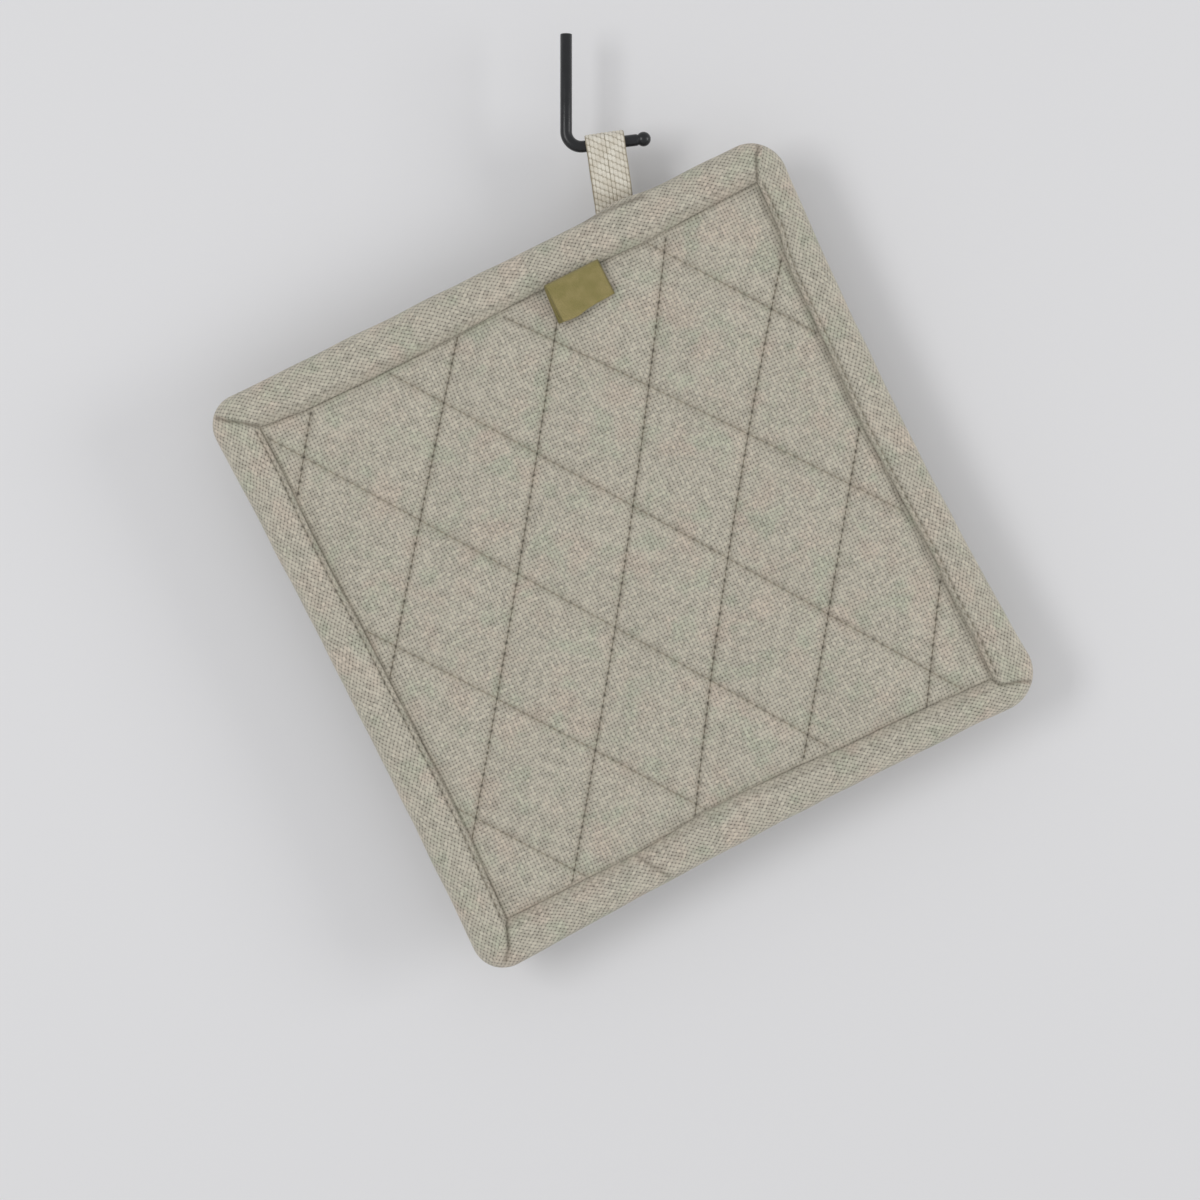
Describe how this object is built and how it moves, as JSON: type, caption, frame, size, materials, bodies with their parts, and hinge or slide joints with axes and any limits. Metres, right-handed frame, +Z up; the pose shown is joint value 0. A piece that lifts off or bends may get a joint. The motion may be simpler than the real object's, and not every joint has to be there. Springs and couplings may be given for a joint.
{
  "type": "quilted pot holder on a wire hook",
  "caption": "Square quilted cloth pot holder with a bound edge and a small side label, hanging by a woven tape loop from a bent wire hook with a ball tip.",
  "frame": {"origin": "middle of the flat cut upper end of the hook's rod", "axes": "+Z up along the rod, -Y towards the viewer and out of the quilted face, +X along the way the hook's arm points"},
  "size_m": [0.2623, 0.0166, 0.2997],
  "materials": {
    "quilt_cloth": "matt plain weave, greige, diamond quilted",
    "binding_cloth": "matt plain weave cut on the bias",
    "label_ribbon": "fine woven ribbon, olive, plain",
    "loop_tape": "undyed cotton herringbone tape",
    "hook_black": "black satin lacquer"
  },
  "bodies": {
    "root": {"quilted_pad": "quilt_cloth", "edge_binding": "binding_cloth", "side_label": "label_ribbon", "hanging_loop": "loop_tape", "hook": "hook_black"}
  },
  "joints": []
}
